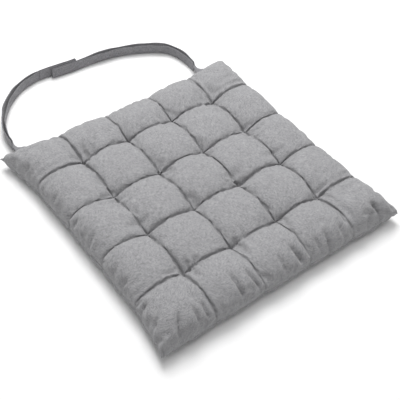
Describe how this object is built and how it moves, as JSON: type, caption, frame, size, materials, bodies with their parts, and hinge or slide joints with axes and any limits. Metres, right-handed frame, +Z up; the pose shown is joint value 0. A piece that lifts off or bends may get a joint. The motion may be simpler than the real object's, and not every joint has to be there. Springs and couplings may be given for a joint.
{
  "type": "chair seat pad",
  "caption": "Square tufted seat pad with a quilted cloth cover, wadding held by thread ties, and a two-part strap loop with a touch closure at the back.",
  "frame": {"origin": "middle of the pad's underside, on the plane that the pad rests on", "axes": "+Z up through the pad's thickness, +Y towards the back edge that carries the straps, +X to the right seen from the front"},
  "size_m": [0.4, 0.5418, 0.0442],
  "materials": {
    "cover_cloth": "plain woven heather grey chambray, matt",
    "strap_cloth": "the same weave folded into a dense strip, matt",
    "polyester_wadding": "white polyester fibre wadding",
    "tie_thread": "twisted polyester thread, slight sheen",
    "sewing_thread": "spun polyester sewing thread",
    "hook_tape": "woven nylon tape with hooks",
    "loop_tape": "napped nylon loop tape"
  },
  "bodies": {
    "pad": {"top_panel": "cover_cloth", "bottom_panel": "cover_cloth", "upper_wadding": "polyester_wadding", "lower_wadding": "polyester_wadding", "left_strap_tab": "strap_cloth", "right_strap_tab": "strap_cloth", "seam_thread_back": "sewing_thread", "seam_thread_front": "sewing_thread", "seam_thread_left": "sewing_thread", "seam_thread_right": "sewing_thread", "tuft_tie_row1_col1": "tie_thread", "tuft_tie_row1_col2": "tie_thread", "tuft_tie_row1_col3": "tie_thread", "tuft_tie_row1_col4": "tie_thread", "tuft_tie_row2_col1": "tie_thread", "tuft_tie_row2_col2": "tie_thread", "tuft_tie_row2_col3": "tie_thread", "tuft_tie_row2_col4": "tie_thread", "tuft_tie_row3_col1": "tie_thread", "tuft_tie_row3_col2": "tie_thread", "tuft_tie_row3_col3": "tie_thread", "tuft_tie_row3_col4": "tie_thread", "tuft_tie_row4_col1": "tie_thread", "tuft_tie_row4_col2": "tie_thread", "tuft_tie_row4_col3": "tie_thread", "tuft_tie_row4_col4": "tie_thread"},
    "left_root": {"left_strap_twist": "strap_cloth"},
    "right_root": {"right_strap_twist": "strap_cloth"},
    "left_strap": {"left_strap_band": "strap_cloth", "left_band_stitches": "sewing_thread"},
    "left_tip": {"left_strap_tip": "strap_cloth", "hook_tape": "hook_tape", "hook_tape_stitches": "sewing_thread"},
    "right_strap": {"right_strap_band": "strap_cloth", "right_band_stitches": "sewing_thread", "loop_tape": "loop_tape", "loop_tape_stitches": "sewing_thread"}
  },
  "joints": [
    {"name": "strap_lift_left", "type": "hinge", "parent": "pad", "child": "left_root", "pos_m": [-0.165, 0.19813, 0.0156], "axis": [1, 0, 0], "range_deg": [0, 90]},
    {"name": "strap_lift_right", "type": "hinge", "parent": "pad", "child": "right_root", "pos_m": [0.159, 0.19813, 0.0156], "axis": [1, 0, 0], "range_deg": [0, 90]},
    {"name": "left_strap_swing", "type": "hinge", "parent": "left_root", "child": "left_strap", "pos_m": [-0.17155, 0.22521, 0], "axis": [0, 0, 1], "range_deg": [0, 80]},
    {"name": "right_strap_swing", "type": "hinge", "parent": "right_root", "child": "right_strap", "pos_m": [0.15892, 0.2258, 0], "axis": [0, 0, 1], "range_deg": [0, 16]},
    {"name": "left_tip_peel", "type": "hinge", "parent": "left_strap", "child": "left_tip", "pos_m": [-0.04724, 0.34099, 0], "axis": [0, 0, 1], "range_deg": [0, 110]}
  ],
  "couplings": [
    {"joint": "strap_lift_right", "follows": "strap_lift_left", "ratio": 1}
  ]
}
